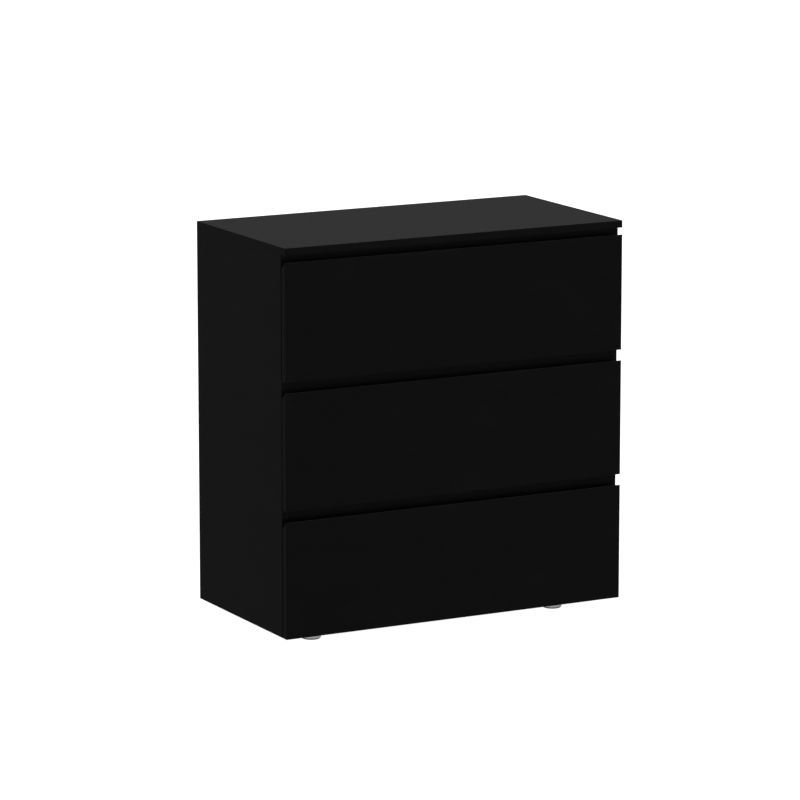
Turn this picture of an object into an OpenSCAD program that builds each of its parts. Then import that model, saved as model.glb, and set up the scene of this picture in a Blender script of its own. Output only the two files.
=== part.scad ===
// Chest of three handle-less drawers: a flat-pack board carcass on four glides, with
// drawer boxes on roller runners. Millimetres. The origin is on the floor under the
// middle of the chest, +Z is up and the drawer fronts face -Y. The chest is symmetrical,
// so everything is drawn for its left half (-X) and mirrored to the right.

/* [Chest] */
// Width over the two side panels
chest_w = 770; // [620:10:1000]
// Depth from the face of the fronts to the back edge of the top
chest_d = 400; // [390:5:480]
// Height of the body, without its feet
body_h = 790; // [760:5:900]
// Thickness of the carcass boards and the drawer fronts
board_t = 15; // [15:1:18]
// Thickness of the hardboard back and drawer bottoms
hardboard_t = 3; // [2.5:0.5:3]

/* [Fronts] */
// Open strip between the top panel and the first front
top_gap = 14.5; // [10:0.5:20]
// Open strip between one front and the next
drawer_gap = 22.5; // [18:0.5:26]
// Air between the carcass's front edges and the closed fronts
front_air = 3; // [2:0.5:3]
// Flat lip on top of each front, before the finger bevel behind it
lip_t = 2; // [1.5:0.5:4]

/* [Drawers] */
// Height of the drawer boxes
box_h = 150; // [130:5:160]
// Thickness of the drawer box boards
box_board_t = 12; // [12:1:14]
// Length of the drawer boxes and their runners
runner_len = 350; // [330:5:350]
// How far a drawer pulls out before its stop
drawer_travel = 265; // [220:5:265]

/* [Feet] */
// Height of the feet
foot_h = 29; // [20:1:40]
// Diameter of each foot
foot_d = 42; // [36:1:56]
// From the centre of a foot to the side of the chest
foot_from_side = 104; // [90:1:150]
// From the centre of a foot to the front or the back of the chest
foot_from_front = 97; // [80:1:120]

/* [Hidden] */
$fn = 48;

DRAWERS = ["top", "middle", "bottom"];
LAST = len(DRAWERS) - 1;

BLACK = "#141414";
BOX_GREY = "#cfccc4";
HARDBOARD = "#7d5f42";
RUNNER_WHITE = "#e2e2df";
NYLON = "#f4f3ee";
ZINC = "#a3a5a6";
BEECH = "#cfa873";
FOOT_GREY = "#939393";
RUBBER = "#b9bab8";

// Main planes of the left half
front_y = -chest_d / 2;
back_y = chest_d / 2;
side_x = -chest_w / 2;
inner_x = side_x + board_t;
inner_w = chest_w - 2 * board_t;
body_top = foot_h + body_h;
top_under = body_top - board_t;
carcass_y = front_y + board_t + front_air;

// The back lies in a rebate along the side panels' rear inner edges
back_recess = 1;
rebate_w = 8;
back_seat_y = back_y - hardboard_t - back_recess;
back_w = inner_w + 2 * rebate_w - 1;
back_mid_z = (foot_h + top_under) / 2;
strip_t = 1.2;
strip_flange_t = 1;
strip_h = 14;

// Fronts and the boards behind the gaps
front_h = (body_h - board_t - top_gap - LAST * drawer_gap) / (LAST + 1);
rail_h = 60;
rail_lap = 10;
rail_y = carcass_y + board_t / 2;
rear_rail_y = back_seat_y - board_t / 2;
bottom_z = foot_h + board_t / 2;

// Drawer boxes: air at each side for the runners, and the box's height above its front's edge
side_air = 12.5;
box_rise = 25;
box_x = inner_x + side_air;
box_y = front_y + board_t;
box_inner_x = box_x + box_board_t;
box_back_y = box_y + runner_len;
groove_d = 6;
groove_rise = 12;
groove_h = hardboard_t + 0.2;

// Roller runners: folded steel, with the rollers' centres above the box's lower edge
steel_t = 1.2;
roller_r = 8.5;
roller_w = 7.5;
roller_z = 4;
roller_air = 0.3;
pin_r = 2.2;
pin_head_r = 3.5;
pin_head_t = 0.7;
channel_w = 10.5;
channel_base_z = roller_z - roller_r - roller_air - steel_t;
channel_h = 24;
channel_y = carcass_y + 2;
cabinet_roller_y = channel_y + 18;
drawer_roller_y = box_back_y - 15;
cabinet_roller_x = steel_t + 0.8;
drawer_roller_x = steel_t + 1.3;
track_x = 3;
track_z = roller_z + roller_r + roller_air;
leg_x = side_air - steel_t;
stop_t = 3;
stop_h = 3;
stop_y = drawer_roller_y - drawer_travel - roller_r + 2;

// Fixings: cam locks with their bolts, dowels, screws and nails
fit = 0.05;
cam_r = 7.5;
cam_skin = 2.5;
cam_setback = 24;
bolt_stub_r = 2.5;
bolt_stub_len = 11;
bolt_shank_r = 3.2;
bolt_neck_r = 2;
bolt_bore_r = 3.6;
dowel_r = 4;
dowel_len = 30;
dowel_in_panel = 10;
nail_r = 0.9;
nail_len = 16;
nail_head_r = 2.5;
nail_head_t = 0.8;
nails_up_side = 8;
nails_across = 5;
nail_corner_gap = 35;
nail_reach_x = 300;
bumper_r = 4;
bumper_t = front_air - 0.2;
wall_hole_r = 2.5;
wall_hole_x = 250;
wall_hole_z = top_under - 30;

// Where the joints and fixings sit: along the boards' depth, above a box's lower edge, and
// back from a cabinet runner's front end
panel_cam_y = 130;
panel_dowel_y = 80;
box_cam_rises = [40, 115];
box_screw_rises = [45, 120];
box_runner_screw_setback = 40;
cabinet_screw_ys = [45, 170, 310];

// Screws are [shank radius, head radius, head height, length under the head]
RUNNER_SCREW = [1.75, 3, steel_t, 12];
BOX_RUNNER_SCREW = [1.75, 3, steel_t, 9];
BOX_SCREW = [1.75, 3.5, 2, 36];
FOOT_SCREW = [2, 4, 2.4, 15.6];

// How a joint's own +X (the bolt, away from the drilled face) and +Z (the cam's open
// side) are turned in the chest
RAIL_TURN = [-90, 0, 0];
REAR_RAIL_TURN = [90, 0, 0];
BOTTOM_TURN = [180, 0, 0];
TOP_TURN = [0, 90, 0];
BOX_TURN = [-90, 0, 90];
HEAD_DOWN = [0, 90, 0];
HEAD_OUT = [0, 0, 180];

// Heights of drawer n, counted from the top: its front's lower edge and its box's
function front_base(n) = foot_h + (LAST - n) * (front_h + drawer_gap);
function box_base(n) = front_base(n) + box_rise;

// Lower edge of the rail behind the gap above front n
function rail_base(n) = n == 0 ? top_under - rail_h : front_base(n - 1) + rail_lap - rail_h;

// Evenly spaced values from a to b
function spread(a, b, count) = [for (i = [0 : count - 1]) a + (b - a) * i / (count - 1)];

// Joints of the left half, as [point on the meeting faces, turn]
function rail_joints(rise) = concat(
    [for (n = [0 : LAST]) [[inner_x, rail_y, rail_base(n) + rise], RAIL_TURN]],
    [[[inner_x, rear_rail_y, rail_base(0) + rise], REAR_RAIL_TURN]]);
function panel_joints(reach) = concat(
    [for (y = [-reach, reach]) [[inner_x, y, bottom_z], BOTTOM_TURN]],
    [for (y = [-reach, reach]) [[side_x + board_t / 2, y, top_under], TOP_TURN]]);
cam_joints = concat(rail_joints(rail_h / 4), panel_joints(panel_cam_y));
dowel_joints = concat(rail_joints(rail_h * 3 / 4), panel_joints(panel_dowel_y));
function box_cams(n) =
    [for (rise = box_cam_rises) [[box_x + box_board_t / 2, box_y, box_base(n) + rise], BOX_TURN]];

// Screws of the left half, as [point under the head, turn]
function cabinet_screws(n) = [for (y = cabinet_screw_ys)
    [[inner_x, channel_y + y, box_base(n) + channel_base_z + channel_h / 2], [0, 0, 0]]];
function box_back_screws(n) = [for (rise = box_screw_rises)
    [[box_x + BOX_SCREW[2], box_back_y - box_board_t / 2, box_base(n) + rise], HEAD_OUT]];
function box_runner_screws(n) =
    [for (y = [box_y + box_runner_screw_setback, box_back_y - 1.5 * box_runner_screw_setback])
        [[box_x + box_board_t / 2, y, box_base(n)], HEAD_DOWN]];
foot_x = side_x + foot_from_side;
foot_ys = [front_y + foot_from_front, back_y - foot_from_front];
foot_web = 6;
foot_screws = [for (y = foot_ys) [[foot_x, y, foot_h - foot_web + FOOT_SCREW[2]], HEAD_DOWN]];

// Nails of the back, as [x, z]; those of the box bottoms go up into the box's back
side_nail_x = inner_x - rebate_w / 2;
back_nails = concat(
    [for (x = [-side_nail_x, side_nail_x],
          z = spread(foot_h + nail_corner_gap, top_under - nail_corner_gap, nails_up_side)) [x, z]],
    [for (x = spread(-nail_reach_x, nail_reach_x, nails_across), z = [bottom_z, top_under - 9])
        [x, z]]);
box_nail_xs = [-200, 0, 200];

function named(n, part) = str(DRAWERS[n], "_", part);

// ---- helpers ----

module mirrored() {
    mirror([1, 0, 0]) children();
}

module both_sides() {
    children();
    mirrored() children();
}

module at(joints) {
    for (joint = joints) translate(joint[0]) rotate(joint[1]) children();
}

// A round bar or a drilled hole along X
module bar_x(r, from, to) {
    translate([from, 0, 0]) rotate([0, 90, 0]) cylinder(r = r, h = to - from);
}

// A cross-shaped recess for a screwdriver, sunk along -X from the plane x = face
module cross_recess(face, reach, depth) {
    for (turn = [0, 90]) rotate([turn, 0, 0])
        translate([face - depth, -reach, -reach / 5]) cube([depth + 1, 2 * reach, reach * 2 / 5]);
}

// ---- fixings, each along its own X axis ----

module cam_cuts(board) {
    bar_x(bolt_stub_r + fit, -bolt_stub_len, 0);
    bar_x(bolt_bore_r, 0, cam_setback);
    translate([cam_setback, 0, cam_skin - board / 2]) cylinder(r = cam_r + fit, h = board);
}

module cam_lock(board) {
    difference() {
        translate([cam_setback, 0, cam_skin - board / 2]) cylinder(r = cam_r, h = board - cam_skin);
        bar_x(bolt_bore_r, 0, cam_setback + 4);
        translate([cam_setback, 0, 0]) rotate([0, -90, 0]) cross_recess(board / 2, 5, 1.8);
    }
}

module cam_bolt() {
    rotate([0, 90, 0]) rotate_extrude() polygon([
        [0, -bolt_stub_len], [bolt_stub_r - 1, -bolt_stub_len], [bolt_stub_r, 1.5 - bolt_stub_len],
        [bolt_stub_r, 0], [bolt_shank_r, 0], [bolt_shank_r, 17], [bolt_neck_r, 18.5],
        [bolt_neck_r, 22], [bolt_shank_r, 23], [bolt_shank_r, 25.5], [2, 27], [0, 27]]);
}

module dowel(air = 0) {
    bar_x(dowel_r + air, -dowel_in_panel, dowel_len - dowel_in_panel);
}

module screw_cuts(kind) {
    bar_x(kind[0] + fit, -kind[3], 0);
    rotate([0, 90, 0]) cylinder(r1 = kind[0] + fit, r2 = kind[1] + fit, h = kind[2]);
}

module screw(kind) {
    difference() {
        rotate([0, 90, 0]) rotate_extrude() polygon([
            [0, -kind[3]], [kind[0], 2 * kind[0] - kind[3]], [kind[0], 0],
            [kind[1], kind[2]], [0, kind[2]]]);
        cross_recess(kind[2], kind[1] * 0.6, kind[2] * 0.6);
    }
}

module nail() {
    bar_x(nail_r, -nail_len, 0);
    bar_x(nail_head_r, 0, nail_head_t);
}

module back_nail_places() {
    for (spot = back_nails) translate([spot[0], back_seat_y + hardboard_t, spot[1]])
        rotate([0, 0, 90]) children();
}

module box_nail_places(n) {
    for (x = box_nail_xs)
        translate([x, box_back_y - box_board_t / 2, box_base(n) + groove_rise])
            rotate(HEAD_DOWN) children();
}

// ---- carcass ----

module carcass_joint_cuts() {
    both_sides() {
        at(cam_joints) cam_cuts(board_t);
        at(dowel_joints) dowel(fit);
    }
}

module back_nail_cuts() {
    back_nail_places() bar_x(nail_r + fit, -nail_len, 0);
}

module wall_holes() {
    both_sides() translate([-wall_hole_x, rear_rail_y - board_t, wall_hole_z])
        rotate([-90, 0, 0]) cylinder(r = wall_hole_r, h = 2 * board_t);
}

module top_panel() {
    color(BLACK) difference() {
        translate([side_x, front_y, top_under]) cube([chest_w, chest_d, board_t]);
        carcass_joint_cuts();
    }
}

module side_panel() {
    color(BLACK) difference() {
        translate([side_x, carcass_y, foot_h]) cube([board_t, back_y - carcass_y, top_under - foot_h]);
        translate([inner_x - rebate_w, back_seat_y, foot_h - 1])
            cube([board_t, board_t, top_under - foot_h + 2]);
        carcass_joint_cuts();
        for (n = [0 : LAST]) at(cabinet_screws(n)) screw_cuts(RUNNER_SCREW);
        back_nail_cuts();
    }
}

module bottom_panel() {
    color(BLACK) difference() {
        translate([inner_x, carcass_y, foot_h]) cube([inner_w, back_seat_y - carcass_y, board_t]);
        carcass_joint_cuts();
        both_sides() at(foot_screws) screw_cuts(FOOT_SCREW);
        back_nail_cuts();
    }
}

module front_rail(n) {
    color(BLACK) difference() {
        translate([inner_x, carcass_y, rail_base(n)]) cube([inner_w, board_t, rail_h]);
        carcass_joint_cuts();
    }
}

module rear_top_rail() {
    color(BLACK) difference() {
        translate([inner_x, back_seat_y - board_t, rail_base(0)]) cube([inner_w, board_t, rail_h]);
        carcass_joint_cuts();
        back_nail_cuts();
        wall_holes();
    }
}

// Hardboard sheet of the back between two heights
module back_sheet(low, high) {
    color(HARDBOARD) difference() {
        translate([-back_w / 2, back_seat_y, low]) cube([back_w, hardboard_t, high - low]);
        back_nail_cuts();
        wall_holes();
    }
}

// H-shaped strip that joins the two back sheets edge to edge
module back_joint_strip() {
    strip_w = inner_w - 1;
    color(BLACK) {
        for (y = [back_seat_y - strip_flange_t, back_seat_y + hardboard_t])
            translate([-strip_w / 2, y, back_mid_z - strip_h / 2]) cube([strip_w, strip_flange_t, strip_h]);
        translate([-strip_w / 2, back_seat_y, back_mid_z - strip_t / 2])
            cube([strip_w, hardboard_t, strip_t]);
    }
}

// Glide: a slightly tapered disc with a chamfered rim, screwed up through its middle
module foot(y) {
    rim = 3;
    taper = 0.8;
    flat_h = 1;
    recess_r = 6;
    color(FOOT_GREY) difference() {
        translate([foot_x, y, 0]) rotate_extrude() polygon([
            [recess_r, 0], [foot_d / 2 - rim, 0], [foot_d / 2 - taper, rim],
            [foot_d / 2, foot_h - flat_h], [foot_d / 2, foot_h], [0, foot_h],
            [0, foot_h - foot_web], [recess_r, foot_h - foot_web]]);
        at(foot_screws) screw_cuts(FOOT_SCREW);
    }
}

module carcass_cam_locks() {
    color(ZINC) both_sides() at(cam_joints) cam_lock(board_t);
}

module carcass_cam_bolts() {
    color(ZINC) both_sides() at(cam_joints) cam_bolt();
}

module carcass_dowels() {
    color(BEECH) both_sides() at(dowel_joints) dowel();
}

module carcass_screws() {
    color(ZINC) both_sides() {
        at(foot_screws) screw(FOOT_SCREW);
        for (n = [0 : LAST]) at(cabinet_screws(n)) screw(RUNNER_SCREW);
    }
}

module back_panel_nails() {
    color(ZINC) back_nail_places() nail();
}

// Soft pads on the side panels' front edges, which the closed fronts come to rest near
module drawer_bumpers() {
    color(RUBBER) both_sides() for (n = [0 : LAST], rise = [30, front_h - 40])
        translate([side_x + board_t / 2, carcass_y, front_base(n) + rise]) rotate([90, 0, 0])
            cylinder(r1 = bumper_r, r2 = bumper_r - 1, h = bumper_t);
}

// ---- runners ----

module roller() {
    bore = pin_r + fit;
    rotate([0, 90, 0]) rotate_extrude() polygon([
        [bore, 0], [4.5, 0], [4.5, 1], [7, 1], [7, 0], [roller_r - 0.6, 0], [roller_r, 0.6],
        [roller_r, roller_w - 0.6], [roller_r - 0.6, roller_w], [7, roller_w], [7, roller_w - 1],
        [4.5, roller_w - 1], [4.5, roller_w], [bore, roller_w]]);
}

// Channel screwed to the side panel, with the pin of its roller at the front
module cabinet_runner(n) {
    flange_y = cabinet_roller_y + roller_r + 14;
    channel_end = channel_y + runner_len;
    pin_end = cabinet_roller_x + roller_w + roller_air;
    color(RUNNER_WHITE) difference() {
        translate([inner_x, 0, box_base(n)]) {
            translate([0, channel_y, channel_base_z]) {
                cube([steel_t, runner_len, channel_h]);
                cube([channel_w, runner_len, steel_t]);
            }
            translate([0, flange_y, channel_base_z + channel_h - steel_t])
                cube([channel_w, channel_end - flange_y, steel_t]);
            translate([0, stop_y - stop_t, channel_base_z]) cube([channel_w, stop_t, steel_t + stop_h]);
            translate([0, cabinet_roller_y, roller_z]) {
                bar_x(pin_r, 0, pin_end);
                bar_x(pin_head_r, pin_end, pin_end + pin_head_t);
                bar_x(pin_head_r, 0, cabinet_roller_x - roller_air);
            }
        }
        at(cabinet_screws(n)) screw_cuts(RUNNER_SCREW);
    }
}

module cabinet_rollers(n) {
    color(NYLON) both_sides()
        translate([inner_x + cabinet_roller_x, cabinet_roller_y, box_base(n) + roller_z]) roller();
}

// Angle under the box's side, with a track that runs on the cabinet's roller
module drawer_runner(n) {
    track_len = drawer_roller_y - 15 - box_y;
    pin_start = drawer_roller_x - roller_air;
    color(RUNNER_WHITE) difference() {
        translate([inner_x, 0, box_base(n)]) {
            translate([leg_x, box_y, -steel_t]) {
                cube([steel_t, runner_len, track_z + 2 * steel_t]);
                cube([steel_t + box_board_t, runner_len, steel_t]);
            }
            translate([track_x, box_y, track_z]) cube([side_air - track_x, track_len, steel_t]);
            translate([0, drawer_roller_y, roller_z]) {
                bar_x(pin_r, pin_start, side_air);
                bar_x(pin_head_r, pin_start - pin_head_t, pin_start);
                bar_x(pin_head_r, drawer_roller_x + roller_w + roller_air, side_air);
            }
        }
        at(box_runner_screws(n)) screw_cuts(BOX_RUNNER_SCREW);
    }
}

module drawer_rollers(n) {
    color(NYLON) both_sides()
        translate([inner_x + drawer_roller_x, drawer_roller_y, box_base(n) + roller_z]) roller();
}

// ---- drawers ----

// Front with a bevel behind its top lip, which leaves room for the fingers
module drawer_front(n) {
    bevel = board_t - lip_t;
    color(BLACK) difference() {
        translate([side_x, front_y, front_base(n)]) rotate([90, 0, 90]) linear_extrude(chest_w)
            polygon([[0, 0], [board_t, 0], [board_t, front_h - bevel], [lip_t, front_h], [0, front_h]]);
        translate([box_inner_x - groove_d, box_y - groove_d, box_base(n) + groove_rise])
            cube([2 * (groove_d - box_inner_x), 2 * groove_d, groove_h]);
        both_sides() at(box_cams(n)) cam_cuts(box_board_t);
    }
}

module drawer_side(n) {
    color(BOX_GREY) difference() {
        translate([box_x, box_y, box_base(n)]) cube([box_board_t, runner_len, box_h]);
        translate([box_inner_x - groove_d, box_y - 1, box_base(n) + groove_rise])
            cube([2 * groove_d, runner_len + 2, groove_h]);
        at(box_cams(n)) cam_cuts(box_board_t);
        at(box_back_screws(n)) screw_cuts(BOX_SCREW);
        at(box_runner_screws(n)) screw_cuts(BOX_RUNNER_SCREW);
    }
}

module drawer_back(n) {
    low = groove_rise + hardboard_t;
    color(BOX_GREY) difference() {
        translate([box_inner_x, box_back_y - box_board_t, box_base(n) + low])
            cube([-2 * box_inner_x, box_board_t, box_h - low]);
        both_sides() at(box_back_screws(n)) screw_cuts(BOX_SCREW);
        box_nail_places(n) bar_x(nail_r + fit, -nail_len, 0);
    }
}

// Hardboard bottom, held in the grooves and nailed up into the back
module drawer_bottom(n) {
    tongue = groove_d - 0.5;
    color(HARDBOARD) difference() {
        translate([box_inner_x - tongue, box_y - tongue, box_base(n) + groove_rise])
            cube([2 * (tongue - box_inner_x), runner_len + tongue, hardboard_t]);
        box_nail_places(n) bar_x(nail_r + fit, -nail_len, 0);
    }
}

module drawer_cam_fittings(n) {
    color(ZINC) both_sides() at(box_cams(n)) {
        cam_lock(box_board_t);
        cam_bolt();
    }
}

module drawer_screws(n) {
    color(ZINC) {
        both_sides() {
            at(box_back_screws(n)) screw(BOX_SCREW);
            at(box_runner_screws(n)) screw(BOX_RUNNER_SCREW);
        }
        box_nail_places(n) nail();
    }
}

// ---- one line per node ----

top_panel();
side_panel();  // left_side_panel
mirrored() side_panel();  // right_side_panel
bottom_panel();
front_rail(0);  // top_front_rail
front_rail(1);  // upper_front_rail
front_rail(2);  // lower_front_rail
rear_top_rail();
back_sheet(back_mid_z + strip_t / 2, top_under - 0.5);  // upper_back_panel
back_sheet(foot_h + 2, back_mid_z - strip_t / 2);  // lower_back_panel
back_joint_strip();
foot(foot_ys[0]);  // front_left_foot
mirrored() foot(foot_ys[0]);  // front_right_foot
foot(foot_ys[1]);  // back_left_foot
mirrored() foot(foot_ys[1]);  // back_right_foot
carcass_cam_locks();
carcass_cam_bolts();
carcass_dowels();
carcass_screws();
back_panel_nails();
drawer_bumpers();

for (n = [0 : LAST]) {
    cabinet_runner(n);
    mirrored() cabinet_runner(n);
    cabinet_rollers(n);
    drawer_front(n);
    drawer_side(n);
    mirrored() drawer_side(n);
    drawer_back(n);
    drawer_bottom(n);
    drawer_runner(n);
    mirrored() drawer_runner(n);
    drawer_rollers(n);
    drawer_cam_fittings(n);
    drawer_screws(n);
}
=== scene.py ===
"""Looks for the handle-less chest of three drawers: materials, soft edges, light and camera.

Lengths are metres, in the CAD model's own frame: the floor at z = 0, the fronts facing -Y.
"""

import math

import bpy
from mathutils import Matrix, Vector


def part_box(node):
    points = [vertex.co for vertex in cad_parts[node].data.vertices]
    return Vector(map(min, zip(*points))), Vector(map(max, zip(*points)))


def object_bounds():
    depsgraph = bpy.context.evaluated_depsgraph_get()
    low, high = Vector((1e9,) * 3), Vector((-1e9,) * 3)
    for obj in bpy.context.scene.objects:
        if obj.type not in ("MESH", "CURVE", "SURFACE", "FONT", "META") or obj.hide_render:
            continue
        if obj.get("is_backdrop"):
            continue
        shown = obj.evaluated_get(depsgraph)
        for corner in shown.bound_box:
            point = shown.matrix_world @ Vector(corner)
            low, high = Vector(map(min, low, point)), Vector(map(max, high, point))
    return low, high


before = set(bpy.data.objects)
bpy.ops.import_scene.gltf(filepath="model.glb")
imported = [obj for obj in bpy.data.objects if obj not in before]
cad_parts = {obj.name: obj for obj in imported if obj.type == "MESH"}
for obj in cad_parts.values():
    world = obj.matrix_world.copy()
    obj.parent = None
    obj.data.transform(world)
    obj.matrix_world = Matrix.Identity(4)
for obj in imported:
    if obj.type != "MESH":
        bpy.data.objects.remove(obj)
cad_low, cad_high = (Vector(corner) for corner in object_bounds())

# ---- view: a long lens, from the front and the left ----
VIEW_TURN = math.radians(28.045)
VIEW_PITCH = math.radians(11.084)
VIEW_DISTANCE = 9.181
VIEW_LENS = 201.05
VIEW_SENSOR = 36
VIEW_REACH = 200
VIEW_OFFSET = Vector((-0.0142, 0.0153, 0.0357))

# ---- light: a lit white floor under a dim room with a big soft light overhead ----
SUN_STRENGTH = 0.9
SUN_ANGLE = math.radians(60)
SUN_TILT = (math.radians(12), math.radians(-10))
SKY_GREYS = ((-0.12, 0.057), (0.04, 0.088), (0.40, 0.10), (0.85, 0.70))
FLOOR_WHITE = 0.48
FLOOR_GLOW = 1.0
FLOOR_SIZE = 80

# ---- colours, linear ----
BLACK = (0.0019, 0.0019, 0.0019)
BLACK_WORN = (0.0026, 0.0026, 0.0026)
CHIP_LIGHT = (0.42, 0.29, 0.16)
CHIP_MID = (0.25, 0.15, 0.075)
CHIP_DARK = (0.11, 0.062, 0.030)
HARDBOARD_LIGHT = (0.185, 0.105, 0.055)
HARDBOARD_DARK = (0.085, 0.045, 0.022)
FOIL_LIGHT = (0.60, 0.59, 0.56)
FOIL_DARK = (0.47, 0.46, 0.43)
STEEL_WHITE = (0.66, 0.66, 0.64)
STEEL_BARE = (0.30, 0.30, 0.31)
NYLON = (0.78, 0.77, 0.72)
NYLON_SCUFFED = (0.50, 0.49, 0.45)
ZINC_LIGHT = (0.62, 0.63, 0.65)
ZINC_DARK = (0.40, 0.41, 0.43)
BEECH_LIGHT = (0.58, 0.38, 0.20)
BEECH_DARK = (0.36, 0.21, 0.10)
FOOT_GREY = (0.47, 0.47, 0.46)
FOOT_DARK = (0.34, 0.34, 0.33)
# painted shade: near-black colour for the feet's bottom rim, standing in for the shade where it faces
# down
FOOT_RIM_SHADE = (0.05, 0.05, 0.05)
RUBBER = (0.42, 0.42, 0.41)
RUBBER_DARK = (0.30, 0.30, 0.29)
STRIP = (0.010, 0.009, 0.009)
STRIP_LIGHT = (0.020, 0.019, 0.018)

# ---- how edges are found: points this near are one, and these angles are flat or sharp ----
SEAM_GAP = 0.000001
ON_FACE = 0.00001
FLAT_ANGLE = math.radians(0.5)
SHARP_ANGLE = math.radians(40)
EDGE_SEGMENTS = 2

# ---- how far edges are rounded off; crisp pieces keep their turned or pressed edges ----
CRISP = 0.0
BOARD_EDGE = 0.0005
SHEET_EDGE = 0.0003
STEEL_EDGE = 0.0003
CAST_EDGE = 0.0003
MOULDED_EDGE = 0.0002
FOOT_EDGE = 0.0006
RUBBER_EDGE = 0.0005
DOWEL_EDGE = 0.0008

# ---- where looks change across a piece ----
SKIN_DEPTH = 0.0004
DIAGONAL = 0.7071
RUNNER_SHEET = 0.0012
TRACK_EDGES = (0.0004, 0.0008)
# height where the painted shade on the feet's bottom rim begins
FOOT_RIM_TOP = (0.0030, 0.0034)

DRAWERS = ("top", "middle", "bottom")
CARCASS_BOARDS = ("top_panel", "left_side_panel", "right_side_panel", "bottom_panel",
                  "top_front_rail", "upper_front_rail", "lower_front_rail", "rear_top_rail")


class Wiring:
    """Sums made of nodes, in a material's node tree or in a modifier's."""

    def feed(self, socket, value):
        if isinstance(value, bpy.types.NodeSocket):
            self.tree.links.new(value, socket)
        else:
            socket.default_value = value

    def math(self, operation, a, b=0.0):
        node = self.tree.nodes.new("ShaderNodeMath")
        node.operation = operation
        self.feed(node.inputs[0], a)
        self.feed(node.inputs[1], b)
        return node.outputs[0]

    def vector_math(self, operation, a, b=(0.0, 0.0, 0.0)):
        node = self.tree.nodes.new("ShaderNodeVectorMath")
        node.operation = operation
        self.feed(node.inputs[0], a)
        self.feed(node.inputs[1], b)
        return node.outputs["Value" if operation == "DOT_PRODUCT" else "Vector"]

    def along(self, vector, axis):
        """How far a vector goes along an axis."""
        return self.vector_math("DOT_PRODUCT", vector, axis)

    def below_faces(self, node):
        """How far the place lies from the nearer face of a board's own box, for each axis."""
        low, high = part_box(node)
        from_low = self.vector_math("ABSOLUTE", self.vector_math("SUBTRACT", self.place, low))
        from_high = self.vector_math("ABSOLUTE", self.vector_math("SUBTRACT", high, self.place))
        depth = self.vector_math("MINIMUM", from_low, from_high)
        return [self.along(depth, axis) for axis in ((1, 0, 0), (0, 1, 0), (0, 0, 1))]


class Paint(Wiring):
    """A material's node tree, with a method for each kind of node that the looks use."""

    def __init__(self, name):
        self.material = bpy.data.materials.new(name)
        self.material.use_nodes = True
        self.tree = self.material.node_tree
        self.shader = self.tree.nodes["Principled BSDF"]
        coordinates = self.tree.nodes.new("ShaderNodeTexCoord")
        self.place = coordinates.outputs["Object"]
        self.facing = coordinates.outputs["Normal"]

    def step(self, value, low, high, start=0.0, end=1.0):
        """A smooth change from start to end while the value goes from low to high."""
        node = self.tree.nodes.new("ShaderNodeMapRange")
        node.interpolation_type = "SMOOTHSTEP"
        for socket, number in zip(node.inputs, (value, low, high, start, end)):
            self.feed(socket, number)
        return node.outputs[0]

    def mix(self, amount, a, b):
        node = self.tree.nodes.new("ShaderNodeMix")
        node.data_type = "RGBA"
        self.feed(node.inputs[0], amount)
        self.feed(node.inputs[6], a if isinstance(a, bpy.types.NodeSocket) else (*a, 1))
        self.feed(node.inputs[7], b if isinstance(b, bpy.types.NodeSocket) else (*b, 1))
        return node.outputs[2]

    def stretched(self, stretch):
        node = self.tree.nodes.new("ShaderNodeMapping")
        self.feed(node.inputs["Vector"], self.place)
        node.inputs["Scale"].default_value = stretch
        return node.outputs[0]

    def noise(self, scale, detail=3.0, stretch=(1, 1, 1), contrast=(0.3, 0.7)):
        """Soft noise from 0 to 1 with features about 1 / scale metres across."""
        node = self.tree.nodes.new("ShaderNodeTexNoise")
        self.feed(node.inputs["Vector"], self.stretched(stretch))
        node.inputs["Scale"].default_value = scale
        node.inputs["Detail"].default_value = detail
        return self.step(node.outputs[0], *contrast)

    def flakes(self, scale, stretch=(1, 1, 1)):
        """A random value for each cell of a chipped pattern."""
        node = self.tree.nodes.new("ShaderNodeTexVoronoi")
        self.feed(node.inputs["Vector"], self.stretched(stretch))
        node.inputs["Scale"].default_value = scale
        return self.along(node.outputs["Color"], (1, 0, 0))

    def weave(self, pitch, axes):
        """Threads that cross at right angles, one set along each of two axes."""
        waves = [self.math("SINE", self.math("MULTIPLY", self.along(self.place, axis),
                                             2 * math.pi / pitch)) for axis in axes]
        return self.step(self.math("MULTIPLY", *waves), -1, 1)

    def bump(self, height, distance, under=None):
        node = self.tree.nodes.new("ShaderNodeBump")
        node.inputs["Distance"].default_value = distance
        self.feed(node.inputs["Height"], height)
        if under is not None:
            self.feed(node.inputs["Normal"], under)
        return node.outputs[0]

    def finish(self, colour, roughness, normal, **constants):
        """Joins the surface to the shader; constants go straight onto the shader's own sockets."""
        self.feed(self.shader.inputs["Base Color"], colour)
        self.feed(self.shader.inputs["Roughness"], roughness)
        self.feed(self.shader.inputs["Normal"], normal)
        for name, value in constants.items():
            self.shader.inputs[name.replace("_", " ")].default_value = value
        return self.material


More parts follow.
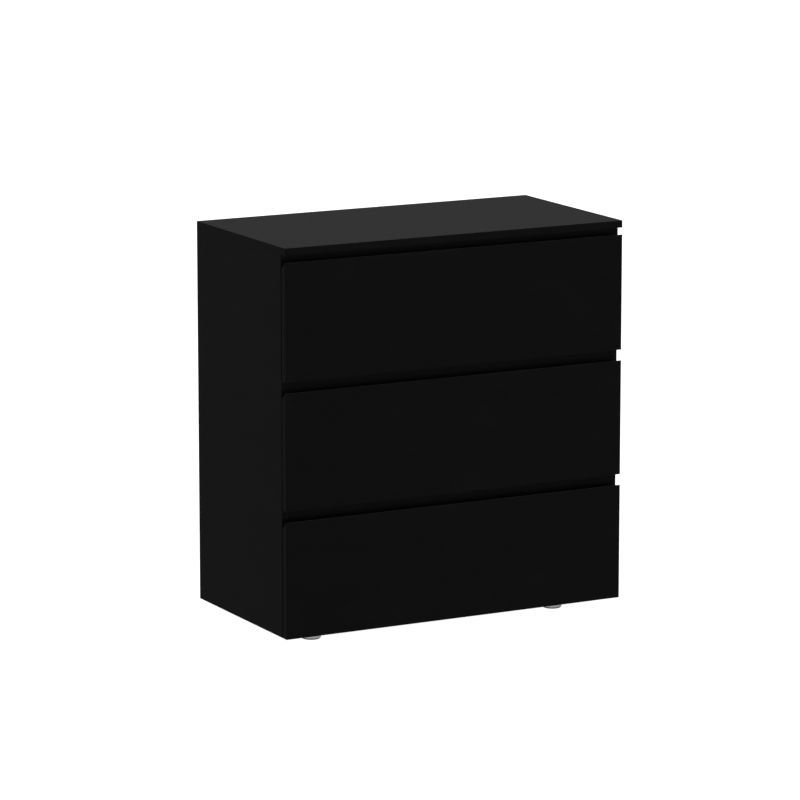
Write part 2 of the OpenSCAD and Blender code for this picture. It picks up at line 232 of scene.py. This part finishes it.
class OutlineMark(Wiring):
    """A modifier's node tree that gives a bevel weight to the edges of a board's own box."""

    def __init__(self, node):
        self.tree = bpy.data.node_groups.new("outline_" + node, "GeometryNodeTree")
        for direction in ("INPUT", "OUTPUT"):
            self.tree.interface.new_socket("Geometry", in_out=direction,
                                           socket_type="NodeSocketGeometry")
        start = self.tree.nodes.new("NodeGroupInput")
        end = self.tree.nodes.new("NodeGroupOutput")
        self.place = self.tree.nodes.new("GeometryNodeInputPosition").outputs[0]
        x, y, z = (self.math("LESS_THAN", depth, ON_FACE) for depth in self.below_faces(node))
        faces_met = self.math("ADD", self.math("ADD", x, y), z)
        mark = self.tree.nodes.new("GeometryNodeStoreNamedAttribute")
        mark.domain = "EDGE"
        mark.inputs["Name"].default_value = "bevel_weight_edge"
        self.feed(mark.inputs["Geometry"], start.outputs[0])
        self.feed(mark.inputs["Value"], self.math("GREATER_THAN", faces_met, 1.5))
        self.feed(end.inputs[0], mark.outputs[0])


# ---- board materials: a foil or melamine skin over a chipboard core ----

def cut_into(paint, node):
    """1 inside holes, grooves and rebates, 0 on the board's own six faces."""
    x, y, z = paint.below_faces(node)
    nearest = paint.math("MINIMUM", paint.math("MINIMUM", x, y), z)
    return paint.step(nearest, SKIN_DEPTH, 2 * SKIN_DEPTH)


def chipboard(paint):
    """Colour and height of a cut chipboard core."""
    chips = paint.flakes(420, (1, 1, 1.8))
    fines = paint.noise(1100, 4)
    colour = paint.mix(paint.step(chips, 0.15, 0.85), CHIP_DARK, CHIP_LIGHT)
    colour = paint.mix(paint.math("MULTIPLY", fines, 0.6), colour, CHIP_MID)
    return colour, paint.math("ADD", chips, fines)


def black_board(node, raw_back_edge=False, bevelled=False):
    """Smooth satin black melamine, with raw chipboard where the board is cut into."""
    paint = Paint("black_board_" + node)
    raw = cut_into(paint, node)
    if raw_back_edge:
        back_edge = paint.step(paint.along(paint.facing, (0, 1, 0)), 0.8, 0.9)
        raw = paint.math("MAXIMUM", raw, back_edge)
    if bevelled:
        flat = paint.step(paint.along(paint.facing, (0, DIAGONAL, DIAGONAL)), 0.9, 0.95, 1, 0)
        raw = paint.math("MULTIPLY", raw, flat)
    core, core_height = chipboard(paint)
    smears = paint.noise(9, 5, (1, 1, 2.5), (0.35, 0.8))
    skin = paint.mix(smears, BLACK, BLACK_WORN)
    pearl = paint.noise(1500, 2)
    skin_roughness = paint.step(paint.math("ADD", smears, paint.noise(70, 3)), 0, 2, 0.31, 0.35)
    height = paint.math("ADD", paint.math("MULTIPLY", pearl, paint.math("SUBTRACT", 1.0, raw)),
                        paint.math("MULTIPLY", core_height, paint.math("MULTIPLY", raw, 6.0)))
    return paint.finish(paint.mix(raw, skin, core),
                        paint.math("MAXIMUM", skin_roughness, paint.math("MULTIPLY", raw, 0.9)),
                        paint.bump(height, 0.00006))


def drawer_board(node):
    """Light grey foil with a fine linen print, over chipboard."""
    paint = Paint("drawer_board_" + node)
    raw = cut_into(paint, node)
    end = paint.step(paint.math("ABSOLUTE", paint.along(paint.facing, (0, 1, 0))), 0.8, 0.9)
    if not node.endswith("drawer_back"):
        raw = paint.math("MAXIMUM", raw, end)
    core, core_height = chipboard(paint)
    threads = paint.weave(0.0011, ((DIAGONAL, DIAGONAL, 0), (0, 0, 1)))
    slubs = paint.noise(120, 3, (0.3, 0.3, 6))
    tone = paint.math("ADD", paint.math("MULTIPLY", threads, 0.3), paint.math("MULTIPLY", slubs, 0.3))
    skin = paint.mix(tone, FOIL_LIGHT, FOIL_DARK)
    height = paint.math("ADD", threads, paint.math("MULTIPLY", core_height,
                                                   paint.math("MULTIPLY", raw, 5.0)))
    return paint.finish(paint.mix(raw, skin, core),
                        paint.math("MAXIMUM", paint.step(slubs, 0, 1, 0.48, 0.6),
                                   paint.math("MULTIPLY", raw, 0.9)),
                        paint.bump(height, 0.00004))


def hardboard(name, lacquered_up=False):
    """Pressed brown fibre, with a lacquered upper face where it is a drawer's bottom."""
    paint = Paint(name)
    fibres = paint.noise(420, 6, (1, 1, 0.4), (0.3, 0.72))
    clouds = paint.noise(14, 4)
    specks = paint.noise(900, 2, (1, 1, 1), (0.62, 0.75))
    screen = paint.weave(0.0024, ((1, 0, 0), (0, 0, 1)))
    tone = paint.math("ADD", paint.math("MULTIPLY", fibres, 0.45), paint.math("MULTIPLY", clouds, 0.3))
    colour = paint.mix(tone, HARDBOARD_LIGHT, HARDBOARD_DARK)
    colour = paint.mix(paint.math("MULTIPLY", specks, 0.6), colour, HARDBOARD_DARK)
    roughness = paint.step(fibres, 0, 1, 0.62, 0.8)
    height = paint.math("ADD", fibres, paint.math("MULTIPLY", screen, 0.8))
    if lacquered_up:
        up = paint.step(paint.along(paint.facing, (0, 0, 1)), 0.8, 0.9)
        slubs = paint.noise(160, 3, (1, 0.5, 1))
        print_tone = paint.math("ADD", paint.math("MULTIPLY", slubs, 0.2),
                                paint.math("MULTIPLY", clouds, 0.2))
        colour = paint.mix(up, colour, paint.mix(print_tone, FOIL_LIGHT, FOIL_DARK))
        fibres = paint.math("MULTIPLY", fibres, paint.math("SUBTRACT", 1.0, up))
        roughness = paint.math("SUBTRACT", roughness, paint.math("MULTIPLY", up, 0.2))
    return paint.finish(colour, roughness, paint.bump(height, 0.00008))


# ---- plastic, metal and wood fittings ----

def runner_steel(node):
    """White powder coat, rubbed bare along the strip that the roller runs on."""
    paint = Paint("runner_steel_" + node)
    low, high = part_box(node)
    cabinet = "cabinet" in node
    track_facing = (0, 0, 1) if cabinet else (0, 0, -1)
    track = paint.step(paint.along(paint.facing, track_facing), 0.8, 0.9)
    height = paint.along(paint.place, (0, 0, 1))
    level = low.z + RUNNER_SHEET if cabinet else high.z - RUNNER_SHEET
    off_level = paint.math("ABSOLUTE", paint.math("SUBTRACT", height, level))
    on_level = paint.step(off_level, *TRACK_EDGES, 1, 0)
    streaks = paint.noise(400, 3, (1, 0.02, 1), (0.35, 0.65))
    worn = paint.math("MULTIPLY", paint.math("MULTIPLY", track, on_level), streaks)
    peel = paint.noise(700, 2)
    grime = paint.noise(30, 4, (1, 0.4, 1), (0.45, 0.8))
    coat = paint.mix(paint.math("MULTIPLY", grime, 0.25), STEEL_WHITE, STEEL_BARE)
    return paint.finish(paint.mix(paint.math("MULTIPLY", worn, 0.6), coat, STEEL_BARE),
                        paint.step(worn, 0, 1, 0.38, 0.28),
                        paint.bump(peel, 0.00002))


def nylon():
    """Off-white moulded rollers, scuffed by running."""
    paint = Paint("nylon")
    scuffs = paint.noise(500, 4, (0.2, 1, 1), (0.5, 0.75))
    grain = paint.noise(1800, 2)
    return paint.finish(paint.mix(paint.math("MULTIPLY", scuffs, 0.5), NYLON, NYLON_SCUFFED),
                        paint.step(scuffs, 0, 1, 0.32, 0.5),
                        paint.bump(grain, 0.00001), Subsurface_Weight=0.08)


def zinc():
    """Cast and plated zinc, a little dull."""
    paint = Paint("zinc")
    mottle = paint.noise(350, 4)
    grain = paint.noise(2600, 2)
    return paint.finish(paint.mix(mottle, ZINC_LIGHT, ZINC_DARK),
                        paint.step(mottle, 0, 1, 0.30, 0.46),
                        paint.bump(grain, 0.00002), Metallic=0.55)


def beech():
    """Pale turned dowels with the grain along their length."""
    paint = Paint("beech")
    grain = paint.noise(900, 5, (0.1, 1, 1))
    return paint.finish(paint.mix(grain, BEECH_LIGHT, BEECH_DARK),
                        paint.step(grain, 0, 1, 0.6, 0.75),
                        paint.bump(grain, 0.00004))


def foot_plastic():
    """Light grey moulded glides with a fine spark texture, and painted shade on the downward-facing
    bottom rim.
    """
    paint = Paint("foot_plastic")
    spark = paint.noise(2200, 3)
    patches = paint.noise(60, 4, (1, 1, 1), (0.4, 0.75))
    # painted shade: the lowest few millimetres of each foot are coloured near-black, standing in for
    # the shade on its downward-facing rim
    rim = paint.step(paint.along(paint.place, (0, 0, 1)), *FOOT_RIM_TOP, 1, 0)
    wall = paint.mix(paint.math("MULTIPLY", patches, 0.3), FOOT_GREY, FOOT_DARK)
    return paint.finish(paint.mix(rim, wall, FOOT_RIM_SHADE),
                        paint.step(spark, 0, 1, 0.42, 0.55),
                        paint.bump(spark, 0.00003))


def bumper_rubber():
    """Soft grey pads, slightly dusty."""
    paint = Paint("bumper_rubber")
    dust = paint.noise(500, 3)
    return paint.finish(paint.mix(dust, RUBBER, RUBBER_DARK),
                        paint.step(dust, 0, 1, 0.35, 0.55),
                        paint.bump(dust, 0.00002))


def strip_plastic():
    """Black extruded strip with die lines along its length."""
    paint = Paint("strip_plastic")
    lines = paint.noise(1500, 3, (0.004, 1, 1))
    return paint.finish(paint.mix(lines, STRIP, STRIP_LIGHT),
                        paint.step(lines, 0, 1, 0.34, 0.5),
                        paint.bump(lines, 0.00002))


# ---- putting the looks on the CAD nodes ----

def soften(node, width, outline_only):
    """Closes a node's seams and rounds its sharp edges: all, or only those of its own box."""
    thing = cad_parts[node]
    weld = thing.modifiers.new("close_seams", "WELD")
    weld.merge_threshold = SEAM_GAP
    join = thing.modifiers.new("join_flat", "DECIMATE")
    join.decimate_type = "DISSOLVE"
    join.angle_limit = FLAT_ANGLE
    if width == CRISP:
        return
    if outline_only:
        mark = thing.modifiers.new("mark_outline", "NODES")
        mark.node_group = OutlineMark(node).tree
    bevel = thing.modifiers.new("soft_edges", "BEVEL")
    bevel.width = width
    bevel.segments = EDGE_SEGMENTS
    bevel.limit_method = "WEIGHT" if outline_only else "ANGLE"
    bevel.angle_limit = SHARP_ANGLE
    bevel.use_clamp_overlap = False
    bevel.loop_slide = False
    bevel.harden_normals = True


def dress(node, material, edge, outline_only=False):
    """Gives a CAD node its material and its rounded edges."""
    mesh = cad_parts[node].data
    mesh.materials.clear()
    mesh.materials.append(material)
    soften(node, edge, outline_only)


def dress_carcass():
    for node in CARCASS_BOARDS:
        dress(node, black_board(node, raw_back_edge=node.endswith("side_panel")), BOARD_EDGE)
    back = hardboard("hardboard_back")
    dress("upper_back_panel", back, SHEET_EDGE)
    dress("lower_back_panel", back, SHEET_EDGE)
    dress("back_joint_strip", strip_plastic(), MOULDED_EDGE)
    foot = foot_plastic()
    for end in ("front", "back"):
        for side in ("left", "right"):
            dress(f"{end}_{side}_foot", foot, FOOT_EDGE)
    dress("drawer_bumpers", bumper_rubber(), RUBBER_EDGE)
    dress("carcass_dowels", beech(), DOWEL_EDGE)


def dress_fittings():
    metal = zinc()
    dress("carcass_cam_locks", metal, CAST_EDGE)
    dress("carcass_cam_bolts", metal, CRISP)
    dress("carcass_screws", metal, CRISP)
    dress("back_panel_nails", metal, MOULDED_EDGE)
    for drawer in DRAWERS:
        dress(drawer + "_drawer_cam_fittings", metal, CRISP)
        dress(drawer + "_drawer_screws", metal, CRISP)


def dress_drawers():
    base = hardboard("drawer_base", lacquered_up=True)
    wheel = nylon()
    for drawer in DRAWERS:
        front = drawer + "_drawer_front"
        dress(front, black_board(front, bevelled=True), BOARD_EDGE)
        for part in ("left_side", "right_side", "back"):
            board = f"{drawer}_drawer_{part}"
            dress(board, drawer_board(board), BOARD_EDGE, outline_only=part.endswith("side"))
        dress(drawer + "_drawer_bottom", base, SHEET_EDGE)
        for owner in ("cabinet", "drawer"):
            dress(f"{drawer}_{owner}_rollers", wheel, MOULDED_EDGE)
            for side in ("left", "right"):
                runner = f"{drawer}_{owner}_runner_{side}"
                dress(runner, runner_steel(runner), STEEL_EDGE)


# ---- stage ----

def make_floor():
    bpy.ops.mesh.primitive_plane_add(size=FLOOR_SIZE)
    floor = bpy.context.object
    floor.name = "floor"
    paint = Paint("floor")
    paint.shader.inputs["Base Color"].default_value = (FLOOR_WHITE, FLOOR_WHITE, FLOOR_WHITE, 1)
    paint.shader.inputs["Roughness"].default_value = 1.0
    paint.shader.inputs["Specular IOR Level"].default_value = 0.0
    paint.shader.inputs["Emission Strength"].default_value = FLOOR_GLOW
    floor.data.materials.append(paint.material)
    floor.visible_glossy = False
    floor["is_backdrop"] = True


def make_sky():
    """A dim grey room, so that the black boards have little to reflect."""
    world = bpy.data.worlds.new("studio")
    bpy.context.scene.world = world
    world.use_nodes = True
    tree = world.node_tree
    background = tree.nodes["Background"]
    coordinates = tree.nodes.new("ShaderNodeTexCoord")
    height = tree.nodes.new("ShaderNodeSeparateXYZ")
    ramp = tree.nodes.new("ShaderNodeValToRGB")
    shift = tree.nodes.new("ShaderNodeMapRange")
    shift.inputs["From Min"].default_value = -1
    tree.links.new(coordinates.outputs["Generated"], height.inputs[0])
    tree.links.new(height.outputs["Z"], shift.inputs["Value"])
    tree.links.new(shift.outputs[0], ramp.inputs[0])
    tree.links.new(ramp.outputs[0], background.inputs["Color"])
    stops = ramp.color_ramp.elements
    for number, (sine, grey) in enumerate(SKY_GREYS):
        stop = stops[number] if number < 2 else stops.new(1)
        stop.position = (sine + 1) / 2
        stop.color = (grey, grey, grey, 1)


def make_sun():
    sun = bpy.data.objects.new("softbox", bpy.data.lights.new("softbox", "SUN"))
    sun.data.energy = SUN_STRENGTH
    sun.data.angle = SUN_ANGLE
    sun.rotation_euler = (*SUN_TILT, 0)
    bpy.context.collection.objects.link(sun)


def make_camera():
    target = (cad_low + cad_high) / 2 + VIEW_OFFSET
    forward = Vector((math.sin(VIEW_TURN) * math.cos(VIEW_PITCH),
                      math.cos(VIEW_TURN) * math.cos(VIEW_PITCH), -math.sin(VIEW_PITCH)))
    camera = bpy.data.objects.new("camera", bpy.data.cameras.new("camera"))
    camera.location = target - VIEW_DISTANCE * forward
    camera.rotation_euler = forward.to_track_quat("-Z", "Y").to_euler()
    camera.data.lens = VIEW_LENS
    camera.data.sensor_width = VIEW_SENSOR
    camera.data.clip_end = VIEW_REACH
    bpy.context.collection.objects.link(camera)
    bpy.context.scene.camera = camera
    bpy.context.scene.view_settings.view_transform = "Standard"


make_camera()
dress_carcass()
dress_drawers()
dress_fittings()
make_floor()
make_sky()
make_sun()
